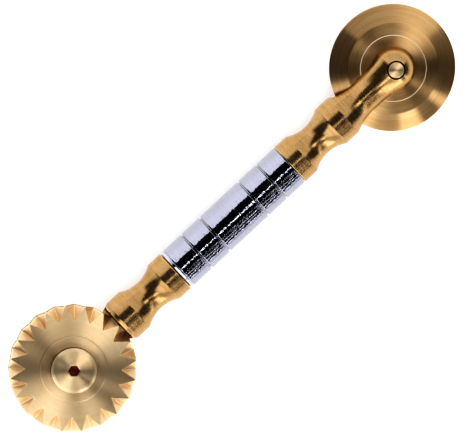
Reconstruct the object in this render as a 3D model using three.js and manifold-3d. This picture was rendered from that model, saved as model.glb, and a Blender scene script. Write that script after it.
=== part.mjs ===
// Double-ended pastry cutter: a crimping wheel and a plain wheel, each on a one-sided brass arm,
// at the two ends of a chromed grip that a tie rod holds together.
//
// Frame: millimetres, +Z up. The tool lies flat, with its grip along X and both wheel pivots
// along Z. The origin is on the grip's axis, midway between the two pivots. The crimping wheel is
// at -X, on top of its arm. The plain wheel is at +X, under its arm.
//
// Each end is built in a frame of its own, with the pivot along Z through the origin, the grip
// towards -X, the arm above and the wheel below. The crimping end is that frame turned half a
// turn about Y.

import * as THREE from "three";
import { mergeVertices } from "three/addons/utils/BufferGeometryUtils.js";
import Module from "manifold-3d";

const wasm = await Module();
wasm.setup();

// Driving dimensions.
const PIVOT_SPAN = 132.2; // between the two wheel pivots
const BAR_R = 7; // grip sleeves and the collars of the arms
const FACE_GAP = 0.1; // between pieces that are clamped or run face to face
const RUNNING_GAP = 0.1; // radial, between a wheel and the shoulder that it turns on
const FIT_GAP = 0.2; // radial, between any other shaft and the hole that it is in

// Arms. Distances run from the pivot along the bar, towards the grip.
const ARM = {
  ballR: 6.75,
  blend: 3, // where the ball meets the neck
  neckAt: 12.5,
  neckR: 5.15,
  shoulderAt: 19.6, // end of the half-round stretch
  frontCollar: [20.8, 25.7],
  waistR: 5.2,
  rearCollar: [37.8, 42.6],
  rearChamfer: 0.3,
  flatZ: 0.9, // milled face that the wheel runs against
  holeR: 2.65,
  countersinkR: 2.9,
  tapDepth: 10.5,
};

// Wheels.
const WHEEL = {
  r: 19.25,
  hubR: 10.15,
  hubWidth: 5,
  discWidth: 4.4,
  bevelR: 13.85, // plain wheel: where the bevel starts
  edgeWidth: 0.3, // plain wheel: flat left on the cutting edge
  rimChamfer: 0.25, // crimping wheel: turned edge of its outer face
};
const GROOVES = {
  count: 20, // on each face
  apexR: 14.5,
  depth: 3.3, // at the rim
  phaseDeg: 8.2, // of the outer face's first groove
};

// Pivot: a shouldered screw with two thrust washers.
const SCREW = {
  headR: 7,
  headHeight: 2.4,
  headRound: 1.3,
  shoulderR: 3,
  threadR: 2.4,
  tipZ: 6.35,
  tipChamfer: 0.25,
  socketAcrossFlats: 3.1,
  socketDepth: 2.6,
  socketTurnDeg: 13.2,
};
const WASHER = { r: 5.6, thickness: 0.4 };

// Grip: five sleeves and four spacers on a rod, with a ring at the crimping end.
const GRIP = {
  sleeveLengths: [6.95, 6.9, 15.25, 6.9, 6.95],
  sleeveRound: 0.25,
  spacerR: 6.4,
  spacerWidth: 0.4,
  ringWidth: 1.25,
  ringSmallR: 6.4,
};
const ROD = { r: 2.9, length: 66, chamfer: 0.5 };

// How finely round things are divided.
const WHEEL_SIDES = 4 * GROOVES.count;
const BAR_SIDES = 36;
const SMALL_SIDES = 28;

const AXIS_BORE_R = ROD.r + FIT_GAP;
const WHEEL_BORE_R = SCREW.shoulderR + RUNNING_GAP;
const WASHER_TOP = ARM.flatZ - FACE_GAP;
const HUB_TOP = WASHER_TOP - WASHER.thickness - FACE_GAP;
const WHEEL_MID = HUB_TOP - WHEEL.hubWidth / 2;
const HEAD_WASHER_TOP = HUB_TOP - WHEEL.hubWidth - FACE_GAP;
const HEAD_TOP = HEAD_WASHER_TOP - WASHER.thickness - FACE_GAP;
const HEAD_FACE = HEAD_TOP - SCREW.headHeight;
const ARM_REACH = ARM.rearCollar[1];

const polishedBrass = new THREE.MeshStandardMaterial({
  color: 0xc8964a,
  roughness: 0.18,
  metalness: 1,
});
const turnedBrass = new THREE.MeshStandardMaterial({
  color: 0xcfa66b,
  roughness: 0.38,
  metalness: 1,
});
const chrome = new THREE.MeshStandardMaterial({
  color: 0xdcdce6,
  roughness: 0.06,
  metalness: 1,
});
const zincSteel = new THREE.MeshStandardMaterial({
  color: 0xa8aaad,
  roughness: 0.35,
  metalness: 1,
});

// Points of an arc in the (radius, height) plane, ends included.
function arc(radius, centreR, centreH, fromDeg, toDeg, steps) {
  const points = [];
  for (let i = 0; i <= steps; i++) {
    const a = THREE.MathUtils.degToRad(fromDeg + ((toDeg - fromDeg) * i) / steps);
    points.push([centreR + radius * Math.cos(a), centreH + radius * Math.sin(a)]);
  }
  return points;
}

// Points of the hollow arc through (endR, endH) whose lowest point is (lowR, lowH), ends included.
function hollow(lowR, lowH, endR, endH, steps) {
  const run = endH - lowH;
  const rise = endR - lowR;
  const radius = (run * run + rise * rise) / (2 * rise);
  const points = [];
  for (let i = 0; i <= steps; i++) {
    const along = (run * i) / steps;
    points.push([lowR + radius - Math.sqrt(radius * radius - along * along), lowH + along]);
  }
  return points;
}

// Turns an outline of [radius, height] pairs about Z. It runs upwards on the outside.
function turned(outline, sides) {
  const points = outline.map(([r, h]) => new THREE.Vector2(Math.max(0, r), h));
  const geometry = new THREE.LatheGeometry(points, sides, Math.PI / 2);
  return geometry.rotateX(Math.PI / 2);
}

// The same for an outline that closes on itself round a bore.
function turnedRing(outline, sides) {
  return turned([...outline, outline[0]], sides);
}

function plainRing(innerR, outerR, low, high, sides) {
  return turnedRing(
    [
      [innerR, low],
      [outerR, low],
      [outerR, high],
      [innerR, high],
    ],
    sides,
  );
}

function solidOf(geometry) {
  const bare = geometry.index ? geometry.toNonIndexed() : geometry.clone();
  bare.deleteAttribute("normal");
  bare.deleteAttribute("uv");
  const merged = mergeVertices(bare, 1e-4);
  return new wasm.Manifold(
    new wasm.Mesh({
      numProp: 3,
      vertProperties: new Float32Array(merged.attributes.position.array),
      triVerts: new Uint32Array(merged.index.array),
    }),
  );
}

function geometryOf(solid) {
  const mesh = solid.getMesh();
  const geometry = new THREE.BufferGeometry();
  geometry.setAttribute("position", new THREE.BufferAttribute(mesh.vertProperties, 3));
  geometry.setIndex(new THREE.BufferAttribute(mesh.triVerts, 1));
  geometry.computeVertexNormals();
  return geometry;
}

function cut(geometry, cutters) {
  let solid = solidOf(geometry);
  for (const cutter of cutters) solid = solid.subtract(solidOf(cutter));
  return geometryOf(solid);
}

// Arm: ball, hollow neck, front collar, waist and rear collar, turned in one piece, then milled
// flat from the ball to the shoulder. The tie rod screws into its rear end.
function armGeometry() {
  const [frontStart, frontEnd] = ARM.frontCollar;
  const [rearStart, rearEnd] = ARM.rearCollar;
  const waistAt = (frontEnd + rearStart) / 2;
  const waist = hollow(ARM.waistR, 0, BAR_R, rearStart - waistAt, 5);
  const ballStart = THREE.MathUtils.radToDeg(Math.asin(-ARM.blend / ARM.ballR));
  const blendR = Math.sqrt(ARM.ballR ** 2 - ARM.blend ** 2);
  const outline = [
    [0, -rearEnd + ARM.tapDepth],
    [AXIS_BORE_R, -rearEnd + ARM.tapDepth],
    [AXIS_BORE_R, -rearEnd],
    [BAR_R - ARM.rearChamfer, -rearEnd],
    [BAR_R, -rearEnd + ARM.rearChamfer],
    ...[...waist].reverse().map(([r, h]) => [r, -waistAt - h]),
    ...waist.slice(1).map(([r, h]) => [r, -waistAt + h]),
    ...hollow(ARM.neckR, -ARM.neckAt, BAR_R, -frontStart, 5).reverse(),
    ...hollow(ARM.neckR, -ARM.neckAt, blendR, -ARM.blend, 3).slice(1, -1),
    ...arc(ARM.ballR, 0, 0, ballStart, 90, 8),
  ];
  const clear = 2 * BAR_R;
  const depth = clear + ARM.flatZ;
  const length = ARM.shoulderAt + clear;
  const milled = new THREE.BoxGeometry(length, 2 * clear, depth).translate(
    length / 2 - ARM.shoulderAt,
    0,
    ARM.flatZ - depth / 2,
  );
  const sinkStart = Math.sqrt(ARM.ballR ** 2 - ARM.countersinkR ** 2);
  const sinkDepth = 2 * (ARM.countersinkR - ARM.holeR);
  const hole = turned(
    [
      [0, -clear],
      [ARM.holeR, -clear],
      [ARM.holeR, sinkStart - sinkDepth],
      [ARM.countersinkR, sinkStart],
      [ARM.countersinkR, clear],
      [0, clear],
    ],
    SMALL_SIDES,
  );
  return cut(turned(outline, BAR_SIDES).rotateY(Math.PI / 2), [milled, hole]);
}

// The half of a wheel's outline from its bore out to the hub's step, below the middle.
function hubOutline() {
  return [
    [WHEEL_BORE_R, WHEEL_MID - WHEEL.hubWidth / 2],
    [WHEEL.hubR, WHEEL_MID - WHEEL.hubWidth / 2],
    [WHEEL.hubR, WHEEL_MID - WHEEL.discWidth / 2],
  ];
}

function mirroredAboutMiddle(outline) {
  return outline.map(([r, h]) => [r, 2 * WHEEL_MID - h]).reverse();
}

// Plain wheel: a flat disc with a raised hub, bevelled to a knife edge.
function plainWheelGeometry() {
  const lower = [
    ...hubOutline(),
    [WHEEL.bevelR, WHEEL_MID - WHEEL.discWidth / 2],
    [WHEEL.r, WHEEL_MID - WHEEL.edgeWidth / 2],
  ];
  return turnedRing([...lower, ...mirroredAboutMiddle(lower)], WHEEL_SIDES);
}

// One V-shaped cutter. It leaves the face at the apex and is deepest at the rim, where it is as
// wide as the pitch. Side is +1 for the upper face and -1 for the lower face.
function grooveCutter(angle, side) {
  const halfPitch = Math.PI / GROOVES.count;
  const face = (side * WHEEL.discWidth) / 2;
  const apex = new THREE.Vector3(GROOVES.apexR, 0, face);
  const bottom = new THREE.Vector3(WHEEL.r, 0, face - side * GROOVES.depth);
  const tip = new THREE.Vector3(
    WHEEL.r * Math.cos(halfPitch),
    WHEEL.r * Math.sin(halfPitch),
    face,
  );
  const reach = 1.5; // past the rim and above the face
  const start = bottom.clone().lerp(apex, reach);
  const deep = apex.clone().lerp(bottom, reach);
  const left = deep.clone().lerp(apex.clone().lerp(tip, reach), reach);
  const right = left.clone().setY(-left.y);
  const corners = side > 0 ? [start, deep, right, left] : [start, deep, left, right];
  const faces = [
    [0, 1, 2],
    [0, 2, 3],
    [0, 3, 1],
    [1, 3, 2],
  ];
  const positions = faces.flat().flatMap((i) => corners[i].toArray());
  const geometry = new THREE.BufferGeometry();
  geometry.setAttribute("position", new THREE.Float32BufferAttribute(positions, 3));
  return geometry.rotateZ(angle).translate(0, 0, WHEEL_MID);
}

// Crimping wheel: the same hub and disc, with V grooves in both faces, half a pitch apart, so
// that the rim is left as a zigzag of even width.
function crimpingWheelGeometry() {
  const lower = [
    ...hubOutline(),
    [WHEEL.r - WHEEL.rimChamfer, WHEEL_MID - WHEEL.discWidth / 2],
    [WHEEL.r, WHEEL_MID - WHEEL.discWidth / 2 + 4 * WHEEL.rimChamfer],
  ];
  const upper = [
    [WHEEL.r, WHEEL_MID + WHEEL.discWidth / 2],
    ...mirroredAboutMiddle(hubOutline()),
  ];
  const phase = THREE.MathUtils.degToRad(GROOVES.phaseDeg);
  const pitch = (2 * Math.PI) / GROOVES.count;
  const cutters = [];
  for (let i = 0; i < GROOVES.count; i++) {
    cutters.push(grooveCutter(phase + i * pitch, -1));
    cutters.push(grooveCutter(phase + (i + 0.5) * pitch, 1));
  }
  const blank = turnedRing([...lower, ...upper], WHEEL_SIDES).rotateZ(phase);
  return cut(blank, cutters);
}

// Pivot screw: round-edged head with a hex socket, shoulder that the wheel turns on, and a
// threaded end that shows at the top of the ball.
function pivotScrewGeometry() {
  const outline = [
    [0, HEAD_FACE],
    ...arc(
      SCREW.headRound,
      SCREW.headR - SCREW.headRound,
      HEAD_FACE + SCREW.headRound,
      -90,
      0,
      3,
    ),
    [SCREW.headR, HEAD_TOP],
    [SCREW.shoulderR, HEAD_TOP],
    [SCREW.shoulderR, ARM.flatZ - FACE_GAP],
    [SCREW.threadR, ARM.flatZ - FACE_GAP],
    [SCREW.threadR, SCREW.tipZ - SCREW.tipChamfer],
    [SCREW.threadR - SCREW.tipChamfer, SCREW.tipZ],
    [0, SCREW.tipZ],
  ];
  const cornerR = SCREW.socketAcrossFlats / Math.sqrt(3);
  const socket = new THREE.CylinderGeometry(cornerR, cornerR, 2 * SCREW.socketDepth, 6)
    .rotateX(Math.PI / 2)
    .rotateZ(THREE.MathUtils.degToRad(SCREW.socketTurnDeg))
    .translate(0, 0, HEAD_FACE);
  return cut(turned(outline, SMALL_SIDES), [socket]);
}

function thrustWasherGeometry(top) {
  const innerR = SCREW.shoulderR + FIT_GAP;
  return plainRing(innerR, WASHER.r, top - WASHER.thickness, top, SMALL_SIDES);
}

// Grip pieces run along X, from the given start.
function sleeveGeometry(start, length) {
  const round = GRIP.sleeveRound;
  const outline = [
    [AXIS_BORE_R, 0],
    ...arc(round, BAR_R - round, round, -90, 0, 2),
    ...arc(round, BAR_R - round, length - round, 0, 90, 2),
    [AXIS_BORE_R, length],
  ];
  return turnedRing(outline, BAR_SIDES).rotateY(Math.PI / 2).translate(start, 0, 0);
}

function spacerGeometry(start) {
  return plainRing(AXIS_BORE_R, GRIP.spacerR, 0, GRIP.spacerWidth, SMALL_SIDES)
    .rotateY(Math.PI / 2)
    .translate(start, 0, 0);
}

// End ring: cone-faced, small end towards the crimping arm.
function endRingGeometry(start) {
  const outline = [
    [AXIS_BORE_R, 0],
    [GRIP.ringSmallR, 0],
    [BAR_R, GRIP.ringWidth - FACE_GAP],
    [BAR_R, GRIP.ringWidth],
    [AXIS_BORE_R, GRIP.ringWidth],
  ];
  return turnedRing(outline, BAR_SIDES).rotateY(Math.PI / 2).translate(start, 0, 0);
}

function tieRodGeometry() {
  const half = ROD.length / 2;
  const outline = [
    [0, -half],
    [ROD.r - ROD.chamfer, -half],
    [ROD.r, -half + ROD.chamfer],
    [ROD.r, half - ROD.chamfer],
    [ROD.r - ROD.chamfer, half],
    [0, half],
  ];
  return turned(outline, SMALL_SIDES).rotateY(Math.PI / 2);
}

function part(name, geometry, material) {
  const mesh = new THREE.Mesh(geometry, material);
  mesh.name = name;
  return mesh;
}

// One end of the tool, in its own frame.
function endAssembly(name, wheelGeometry) {
  const end = new THREE.Group();
  end.add(
    part(`${name}_arm`, armGeometry(), polishedBrass),
    part(`${name}_arm_washer`, thrustWasherGeometry(WASHER_TOP), turnedBrass),
    part(`${name}_wheel`, wheelGeometry, turnedBrass),
    part(`${name}_head_washer`, thrustWasherGeometry(HEAD_WASHER_TOP), turnedBrass),
    part(`${name}_pivot_screw`, pivotScrewGeometry(), turnedBrass),
  );
  return end;
}

// The grip, from the crimping arm's rear face towards +X.
function gripAssembly() {
  const grip = new THREE.Group();
  let at = ARM_REACH - PIVOT_SPAN / 2 + FACE_GAP;
  grip.add(part("end_ring", endRingGeometry(at), chrome));
  at += GRIP.ringWidth + FACE_GAP;
  GRIP.sleeveLengths.forEach((length, i) => {
    if (i > 0) {
      grip.add(part(`grip_spacer_${i}`, spacerGeometry(at), chrome));
      at += GRIP.spacerWidth + FACE_GAP;
    }
    grip.add(part(`grip_sleeve_${i + 1}`, sleeveGeometry(at, length), chrome));
    at += length + FACE_GAP;
  });
  grip.add(part("tie_rod", tieRodGeometry(), zincSteel));
  return grip;
}

const plainEnd = endAssembly("plain", plainWheelGeometry());
plainEnd.position.x = PIVOT_SPAN / 2;

const crimpingEnd = endAssembly("crimping", crimpingWheelGeometry());
crimpingEnd.rotation.y = Math.PI;
crimpingEnd.position.x = -PIVOT_SPAN / 2;

const cutter = new THREE.Group();
cutter.add(crimpingEnd, gripAssembly(), plainEnd);

export default cutter;
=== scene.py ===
"""Looks for the double-ended pastry cutter.

Every CAD node is replaced by a finely turned piece of the same size, with its own metal. Lengths
are in metres. Each end is built in a frame of its own, with the wheel's pivot along Z through the
origin, the grip towards -X, the arm above and the wheel below. The crimping end is that frame
turned half a turn about Y.
"""

import math

import bmesh
import bpy
from mathutils import Matrix, Vector


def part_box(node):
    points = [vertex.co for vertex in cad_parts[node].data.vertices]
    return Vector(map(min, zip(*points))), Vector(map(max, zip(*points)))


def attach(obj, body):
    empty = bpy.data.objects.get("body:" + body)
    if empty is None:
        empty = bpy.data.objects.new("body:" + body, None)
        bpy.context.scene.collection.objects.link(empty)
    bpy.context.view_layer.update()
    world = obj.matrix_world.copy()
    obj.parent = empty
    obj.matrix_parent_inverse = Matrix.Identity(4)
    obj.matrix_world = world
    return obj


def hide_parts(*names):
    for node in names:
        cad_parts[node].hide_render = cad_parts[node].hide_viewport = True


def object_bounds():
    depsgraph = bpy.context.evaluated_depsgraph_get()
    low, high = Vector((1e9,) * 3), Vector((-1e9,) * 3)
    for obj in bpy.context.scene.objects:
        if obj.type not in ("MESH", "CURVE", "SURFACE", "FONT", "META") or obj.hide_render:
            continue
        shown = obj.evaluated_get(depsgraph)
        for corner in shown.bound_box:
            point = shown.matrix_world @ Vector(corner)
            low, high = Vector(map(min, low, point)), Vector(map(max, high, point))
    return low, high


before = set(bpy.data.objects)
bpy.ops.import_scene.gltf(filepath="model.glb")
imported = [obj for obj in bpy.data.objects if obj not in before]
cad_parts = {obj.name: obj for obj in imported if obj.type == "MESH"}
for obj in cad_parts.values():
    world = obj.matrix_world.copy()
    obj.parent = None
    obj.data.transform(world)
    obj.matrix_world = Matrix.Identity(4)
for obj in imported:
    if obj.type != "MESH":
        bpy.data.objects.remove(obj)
cad_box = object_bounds()

MM = 0.001

# Camera: a long lens almost straight above the tool.
TILT = math.radians(10)  # off the vertical, about the grip's axis
ROLL = math.radians(42.94)  # of the grip above the picture's horizontal
CAMERA_DISTANCE = 1.5
FRAME_WIDTH = 140.4 * MM  # what the picture shows at the tool
FRAME_SHIFT_UP = 0.235 * MM
FRAME_SHIFT_RIGHT = 0.095 * MM
SENSOR_WIDTH = 36.0  # in Blender's own millimetres

# Arms: distances run from the pivot along the bar, towards the grip.
BALL_R = 6.75 * MM
BALL_BLEND_AT = 2.0 * MM
NECK_AT = 12.5 * MM
NECK_R = 5.15 * MM
SHOULDER_AT = 19.6 * MM
FRONT_COLLAR = (20.8 * MM, 25.7 * MM)
REAR_COLLAR_AT = 37.8 * MM
WAIST_R = 5.2 * MM
COLLAR_FILLET = 0.5 * MM
REAR_FILLET = 0.3 * MM
SHOULDER_CHAMFER = 0.25 * MM
FLAT_FILLET = 0.25 * MM
FLAT_ABOVE_WASHER = 0.1 * MM
PIVOT_HOLE_R = 2.65 * MM
COUNTERSINK_R = 2.9 * MM
TAP_DEPTH = 10.5 * MM
BORE_R = 3.1 * MM  # along the grip, round the tie rod

# Wheels.
WHEEL_BORE_R = 3.1 * MM
HUB_R = 10.15 * MM
HUB_STEP = 0.3 * MM
HUB_FILLETS = (0.05 * MM, 0.24 * MM, 0.15 * MM)  # at the hub's foot, its rim and the bore
BEVEL_R = 13.85 * MM
BEVEL_FILLET = 0.2 * MM
KNIFE_EDGE = 0.3 * MM
KNIFE_FILLET = 0.06 * MM
GROOVE_COUNT = 20  # on each face
GROOVE_APEX_R = 14.5 * MM
GROOVE_DEPTH = 3.3 * MM
GROOVE_PHASE = math.radians(8.2)
VALLEY_SHARE = 0.07  # of a flank's width, rounded along the bottom of its groove
RIM_CHAMFER = (0.25 * MM, 1.0 * MM)  # inwards, and down from the outer face
FLANK_LEVEL = (0.2, 0.985)  # how level a groove's flank is: more than the rim, less than a face

# Pivot screws and washers.
SMALL_FILLET = 0.1 * MM
HEAD_HEIGHT = 2.4 * MM
HEAD_ROUND = 1.3 * MM
HEAD_FILLET = 0.15 * MM
SHOULDER_R = 3.0 * MM
THREAD_R = 2.4 * MM
TIP_CHAMFER = 0.25 * MM
TIP_FILLET = 0.08 * MM
SOCKET_ACROSS_FLATS = 3.1 * MM
SOCKET_DEPTH = 2.6 * MM
SOCKET_POINT = 0.4  # of the hexagon's corner radius, deeper in the middle
SOCKET_MOUTH_R = 1.95 * MM
SOCKET_MOUTH_END = 0.8  # of the hexagon's corner radius, where the cone of the mouth ends
SOCKET_SHADE_FROM = 0.3 * MM  # below the head's face
SOCKET_TURN = math.radians(13.2)
WASHER_BORE_R = SHOULDER_R + 0.2 * MM

# Grip and tie rod.
SLEEVE_FILLET = 0.18 * MM
SPACER_ROUND = 0.28  # of a spacer's width, at each of its outer edges
END_RING_R = 6.4 * MM  # at the low end of its cone
END_RING_CONE = 0.8  # of the ring's width
END_RING_FILLETS = (0.2 * MM, 0.15 * MM)  # at the low and the high end of the cone
THREAD_PITCH = 1.0 * MM
THREAD_DEPTH = 0.45 * MM
THREAD_HALF_GROOVE = 0.42  # of the pitch
ROD_CHAMFER = 0.6 * MM

# How finely things are divided.
ROUND_SIDES = 160
FILLET_STEPS = 5
RISE_STEPS = 12  # from the neck up to the front collar
WAIST_STEPS = 14  # on each side of the waist
SHARP_ANGLE = math.radians(28)


# ---------------------------------------------------------------------------------------------
# Outlines and meshes


def fillet_points(before, corner, after, radius):
    """The points of an arc that rounds a corner of an outline, given as (radius, height) pairs."""
    c = Vector(corner)
    to_before = (Vector(before) - c).normalized()
    to_after = (Vector(after) - c).normalized()
    angle = to_before.angle(to_after)
    reach = radius / math.tan(angle / 2)
    start = c + to_before * reach
    end = c + to_after * reach
    centre = c + (to_before + to_after).normalized() * (radius / math.sin(angle / 2))
    spoke_a = start - centre
    spoke_b = end - centre
    turn = spoke_a.angle(spoke_b)
    points = []
    for i in range(FILLET_STEPS + 1):
        t = i / FILLET_STEPS
        share_a = math.sin((1 - t) * turn) / math.sin(turn)
        share_b = math.sin(t * turn) / math.sin(turn)
        points.append(tuple(centre + spoke_a * share_a + spoke_b * share_b))
    return points


def rounded(corners, closed=False):
    """An outline of (radius, height) points from corners given as (radius, height, fillet)."""
    points = []
    last = len(corners) - 1
    for i, corner in enumerate(corners):
        at_end = not closed and i in (0, last)
        if at_end or len(corner) < 3 or corner[2] == 0:
            points.append(tuple(corner[:2]))
            continue
        before = corners[i - 1][:2]
        after = corners[(i + 1) % len(corners)][:2]
        points += fillet_points(before, corner[:2], after, corner[2])
    return points


def subdivided(outline, longest=0.8 * MM, margin=0.15 * MM, closed=False):
    """The same outline with its long straight stretches divided, most finely beside a corner."""
    points = []
    count = len(outline)
    for i in range(count if closed else count - 1):
        start = Vector(outline[i])
        end = Vector(outline[(i + 1) % count])
        length = (end - start).length
        shares = [0.0]
        if length > 4 * margin:
            parts = math.ceil(length / longest)
            shares += [margin / length]
            shares += [k / parts for k in range(1, parts)]
            shares += [1 - margin / length]
        points += [tuple(start.lerp(end, share)) for share in shares]
    if not closed:
        points.append(outline[-1])
    return points


def hollow_radius(low_r, end_r, run, along):
    """Radius of a hollow arc at a distance from its lowest point. It reaches end_r at run."""
    rise = end_r - low_r
    bend = (run * run + rise * rise) / (2 * rise)
    return low_r + bend - math.sqrt(bend * bend - along * along)


def hermite(start, end, start_slope, t, span):
    """A smooth curve from start, with that slope, to end, level there."""
    rest = 1 - t
    return (
        (1 + 2 * t) * rest * rest * start
        + t * rest * rest * span * start_slope
        + t * t * (3 - 2 * t) * end
    )


def revolve(outline, sides=ROUND_SIDES, closed=False, phase=0.0):
    """Vertices and faces of an outline of (radius, height) points turned about Z."""
    verts = []
    rings = []
    for radius, height in subdivided(outline, closed=closed):
        if radius < 1e-7:
            rings.append([len(verts)] * sides)
            verts.append((0.0, 0.0, height))
            continue
        rings.append(list(range(len(verts), len(verts) + sides)))
        for k in range(sides):
            a = phase + 2 * math.pi * k / sides
            verts.append((radius * math.cos(a), radius * math.sin(a), height))
    faces = []
    for i in range(len(rings) if closed else len(rings) - 1):
        low = rings[i]
        high = rings[(i + 1) % len(rings)]
        for k in range(sides):
            n = (k + 1) % sides
            faces.append([low[k], low[n], high[n], high[k]])
    return verts, faces


def finished_mesh(name, verts, faces):
    """A closed mesh with its faces turned outwards and its repeated points welded."""
    weld = 2e-7
    bm = bmesh.new()
    made = [bm.verts.new(v) for v in verts]
    for face in faces:
        corners = list(dict.fromkeys(face))
        if len(corners) > 2:
            bm.faces.new([made[i] for i in corners])
    bmesh.ops.remove_doubles(bm, verts=bm.verts, dist=weld)
    bmesh.ops.dissolve_degenerate(bm, edges=bm.edges, dist=weld)
    bmesh.ops.recalc_face_normals(bm, faces=bm.faces)
    mesh = bpy.data.meshes.new(name)
    bm.to_mesh(mesh)
    bm.free()
    return mesh


def new_object(name, mesh, matrix=None):
    obj = bpy.data.objects.new(name, mesh)
    bpy.context.scene.collection.objects.link(obj)
    obj.matrix_world = matrix or Matrix.Identity(4)
    return obj


def cut(obj, verts, faces):
    """Cuts a closed shape, given in obj's own coordinates, out of obj."""
    cutter = new_object("cutter", finished_mesh("cutter", verts, faces), obj.matrix_world.copy())
    boolean = obj.modifiers.new("cut", "BOOLEAN")
    boolean.operation = "DIFFERENCE"
    boolean.solver = "EXACT"
    boolean.object = cutter
    bpy.context.view_layer.update()
    evaluated = obj.evaluated_get(bpy.context.evaluated_depsgraph_get())
    result = bpy.data.meshes.new_from_object(evaluated)
    obj.modifiers.clear()
    obj.data = result
    bpy.data.objects.remove(cutter)


def smooth(obj):
    """Smooth shading inside each turned surface, sharp where two of them meet."""
    obj.data.shade_smooth()
    obj.data.set_sharp_from_angle(angle=SHARP_ANGLE)
    weighted = obj.modifiers.new("weighted_normals", "WEIGHTED_NORMAL")
    weighted.keep_sharp = True


def mark_edges(mesh):
    """Stores how sharply the surface bends at each point: above 0 on edges, below in corners."""
    bm = bmesh.new()
    bm.from_mesh(mesh)
    bends = []
    for vert in bm.verts:
        angles = [edge.calc_face_angle_signed(0.0) for edge in vert.link_edges]
        bends.append(max(angles, key=abs))
    bm.free()
    attribute = mesh.attributes.new("bend", "FLOAT", "POINT")
    attribute.data.foreach_set("value", bends)


def place(obj, node, body, slot, *materials):
    """obj stands for a CAD node, in its body, with those metals. The slot is not used."""
    smooth(obj)
    mark_edges(obj.data)
    for material in materials:
        obj.data.materials.append(material)
    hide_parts(node)
    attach(obj, body)


def detailed(node):
    return node + "_detailed"


# ---------------------------------------------------------------------------------------------
# Places, from the frame


def end_matrix(end):
    """Where the frame of one end of the tool is: its pivot is the middle of its screw."""
    low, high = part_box(end + "_pivot_screw")
    matrix = Matrix.Translation(((low.x + high.x) / 2, 0, 0))
    if end == "crimping":
        matrix = matrix @ Matrix.Rotation(math.pi, 4, "Y")
    return matrix


def end_box(end, part):
    """Lowest and highest corner of a CAD node in the frame of its end."""
    back = end_matrix(end).inverted()
    a, b = [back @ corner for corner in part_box(end + "_" + part)]
    return Vector(map(min, a, b)), Vector(map(max, a, b))


def bar_matrix(start):
    """Turns Z along the grip, from the given place on it."""
    return Matrix.Translation((start, 0, 0)) @ Matrix.Rotation(math.pi / 2, 4, "Y")


# ---------------------------------------------------------------------------------------------
# Arms


def ball_points():
    """(radius, distance) over the ball and the blend, from the pivot's plane to the neck."""
    ball_steps = 6
    blend_steps = 24
    span = NECK_AT - BALL_BLEND_AT
    blend_r = math.sqrt(BALL_R**2 - BALL_BLEND_AT**2)
    slope = -BALL_BLEND_AT / blend_r
    points = []
    for i in range(ball_steps):
        d = BALL_BLEND_AT * i / ball_steps
        points.append((math.sqrt(BALL_R**2 - d * d), d))
    for i in range(blend_steps):
        t = i / blend_steps
        points.append((hermite(blend_r, NECK_R, slope, t, span), BALL_BLEND_AT + t * span))
    return points


def hollow_points(low_r, end_r, low_at, run, first, steps):
    """(radius, distance) along a hollow arc, in steps either side of its lowest point."""
    points = []
    for i in range(first, steps):
        d = run * i / steps
        points.append((hollow_radius(low_r, end_r, run, d), low_at + d))
    return points


def arm_outline(collar_r, reach):
    """(radius, distance) of the turned shape, from the pivot's plane round to the bore's end."""
    rise_run = FRONT_COLLAR[0] - NECK_AT
    waist_at = (FRONT_COLLAR[1] + REAR_COLLAR_AT) / 2
    waist_run = REAR_COLLAR_AT - waist_at
    return rounded([
        *ball_points(),
        *hollow_points(NECK_R, collar_r, NECK_AT, rise_run, 0, RISE_STEPS),
        (collar_r, FRONT_COLLAR[0], COLLAR_FILLET),
        (collar_r, FRONT_COLLAR[1], COLLAR_FILLET),
        *hollow_points(WAIST_R, collar_r, waist_at, waist_run, 1 - WAIST_STEPS, WAIST_STEPS),
        (collar_r, REAR_COLLAR_AT, COLLAR_FILLET),
        (collar_r, reach, REAR_FILLET),
        (BORE_R, reach, 0),
        (BORE_R, reach - TAP_DEPTH, 0),
        (0, reach - TAP_DEPTH, 0),
    ])


ARC_POINTS = 72  # round the part of a section that isn't milled
CHORD_POINTS = 16
CORNER_POINTS = 4


def flat_corner(radius, flat):
    """Fillet of a milled section's corner, and the half width and angle at which it starts."""
    fillet = min(FLAT_FILLET, 0.4 * (radius - flat))
    half = math.sqrt((radius - fillet) ** 2 - (flat + fillet) ** 2)
    return fillet, half, math.atan2(flat + fillet, half)


def round_section(distance, radius, start, lower_radius=None):
    """A whole circle, divided as a milled section is. Its lower part may be smaller."""
    low_r = radius if lower_radius is None else lower_radius
    points = []
    for i in range(ARC_POINTS):
        a = start + (math.pi - 2 * start) * i / (ARC_POINTS - 1)
        points.append((-distance, radius * math.cos(a), radius * math.sin(a)))
    count = CHORD_POINTS + 2 * CORNER_POINTS
    for i in range(1, count + 1):
        a = math.pi - start + (math.pi + 2 * start) * i / (count + 1)
        points.append((-distance, low_r * math.cos(a), low_r * math.sin(a)))
    return points


def milled_section(distance, radius, flat):
    """The part of a circle above the milled flat, with small round corners."""
    fillet, half, start = flat_corner(radius, flat)
    points = []
    for i in range(ARC_POINTS):
        a = start + (math.pi - 2 * start) * i / (ARC_POINTS - 1)
        points.append((-distance, radius * math.cos(a), radius * math.sin(a)))
    sweep = math.pi / 2 + start
    for i in range(1, CORNER_POINTS + 1):
        a = math.pi - start + sweep * i / CORNER_POINTS
        y = -half + fillet * math.cos(a)
        points.append((-distance, y, flat + fillet + fillet * math.sin(a)))
    for i in range(1, CHORD_POINTS + 1):
        points.append((-distance, -half + 2 * half * i / (CHORD_POINTS + 1), flat))
    for i in range(CORNER_POINTS):
        a = 1.5 * math.pi + sweep * i / CORNER_POINTS
        y = half + fillet * math.cos(a)
        points.append((-distance, y, flat + fillet + fillet * math.sin(a)))
    return points


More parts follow.
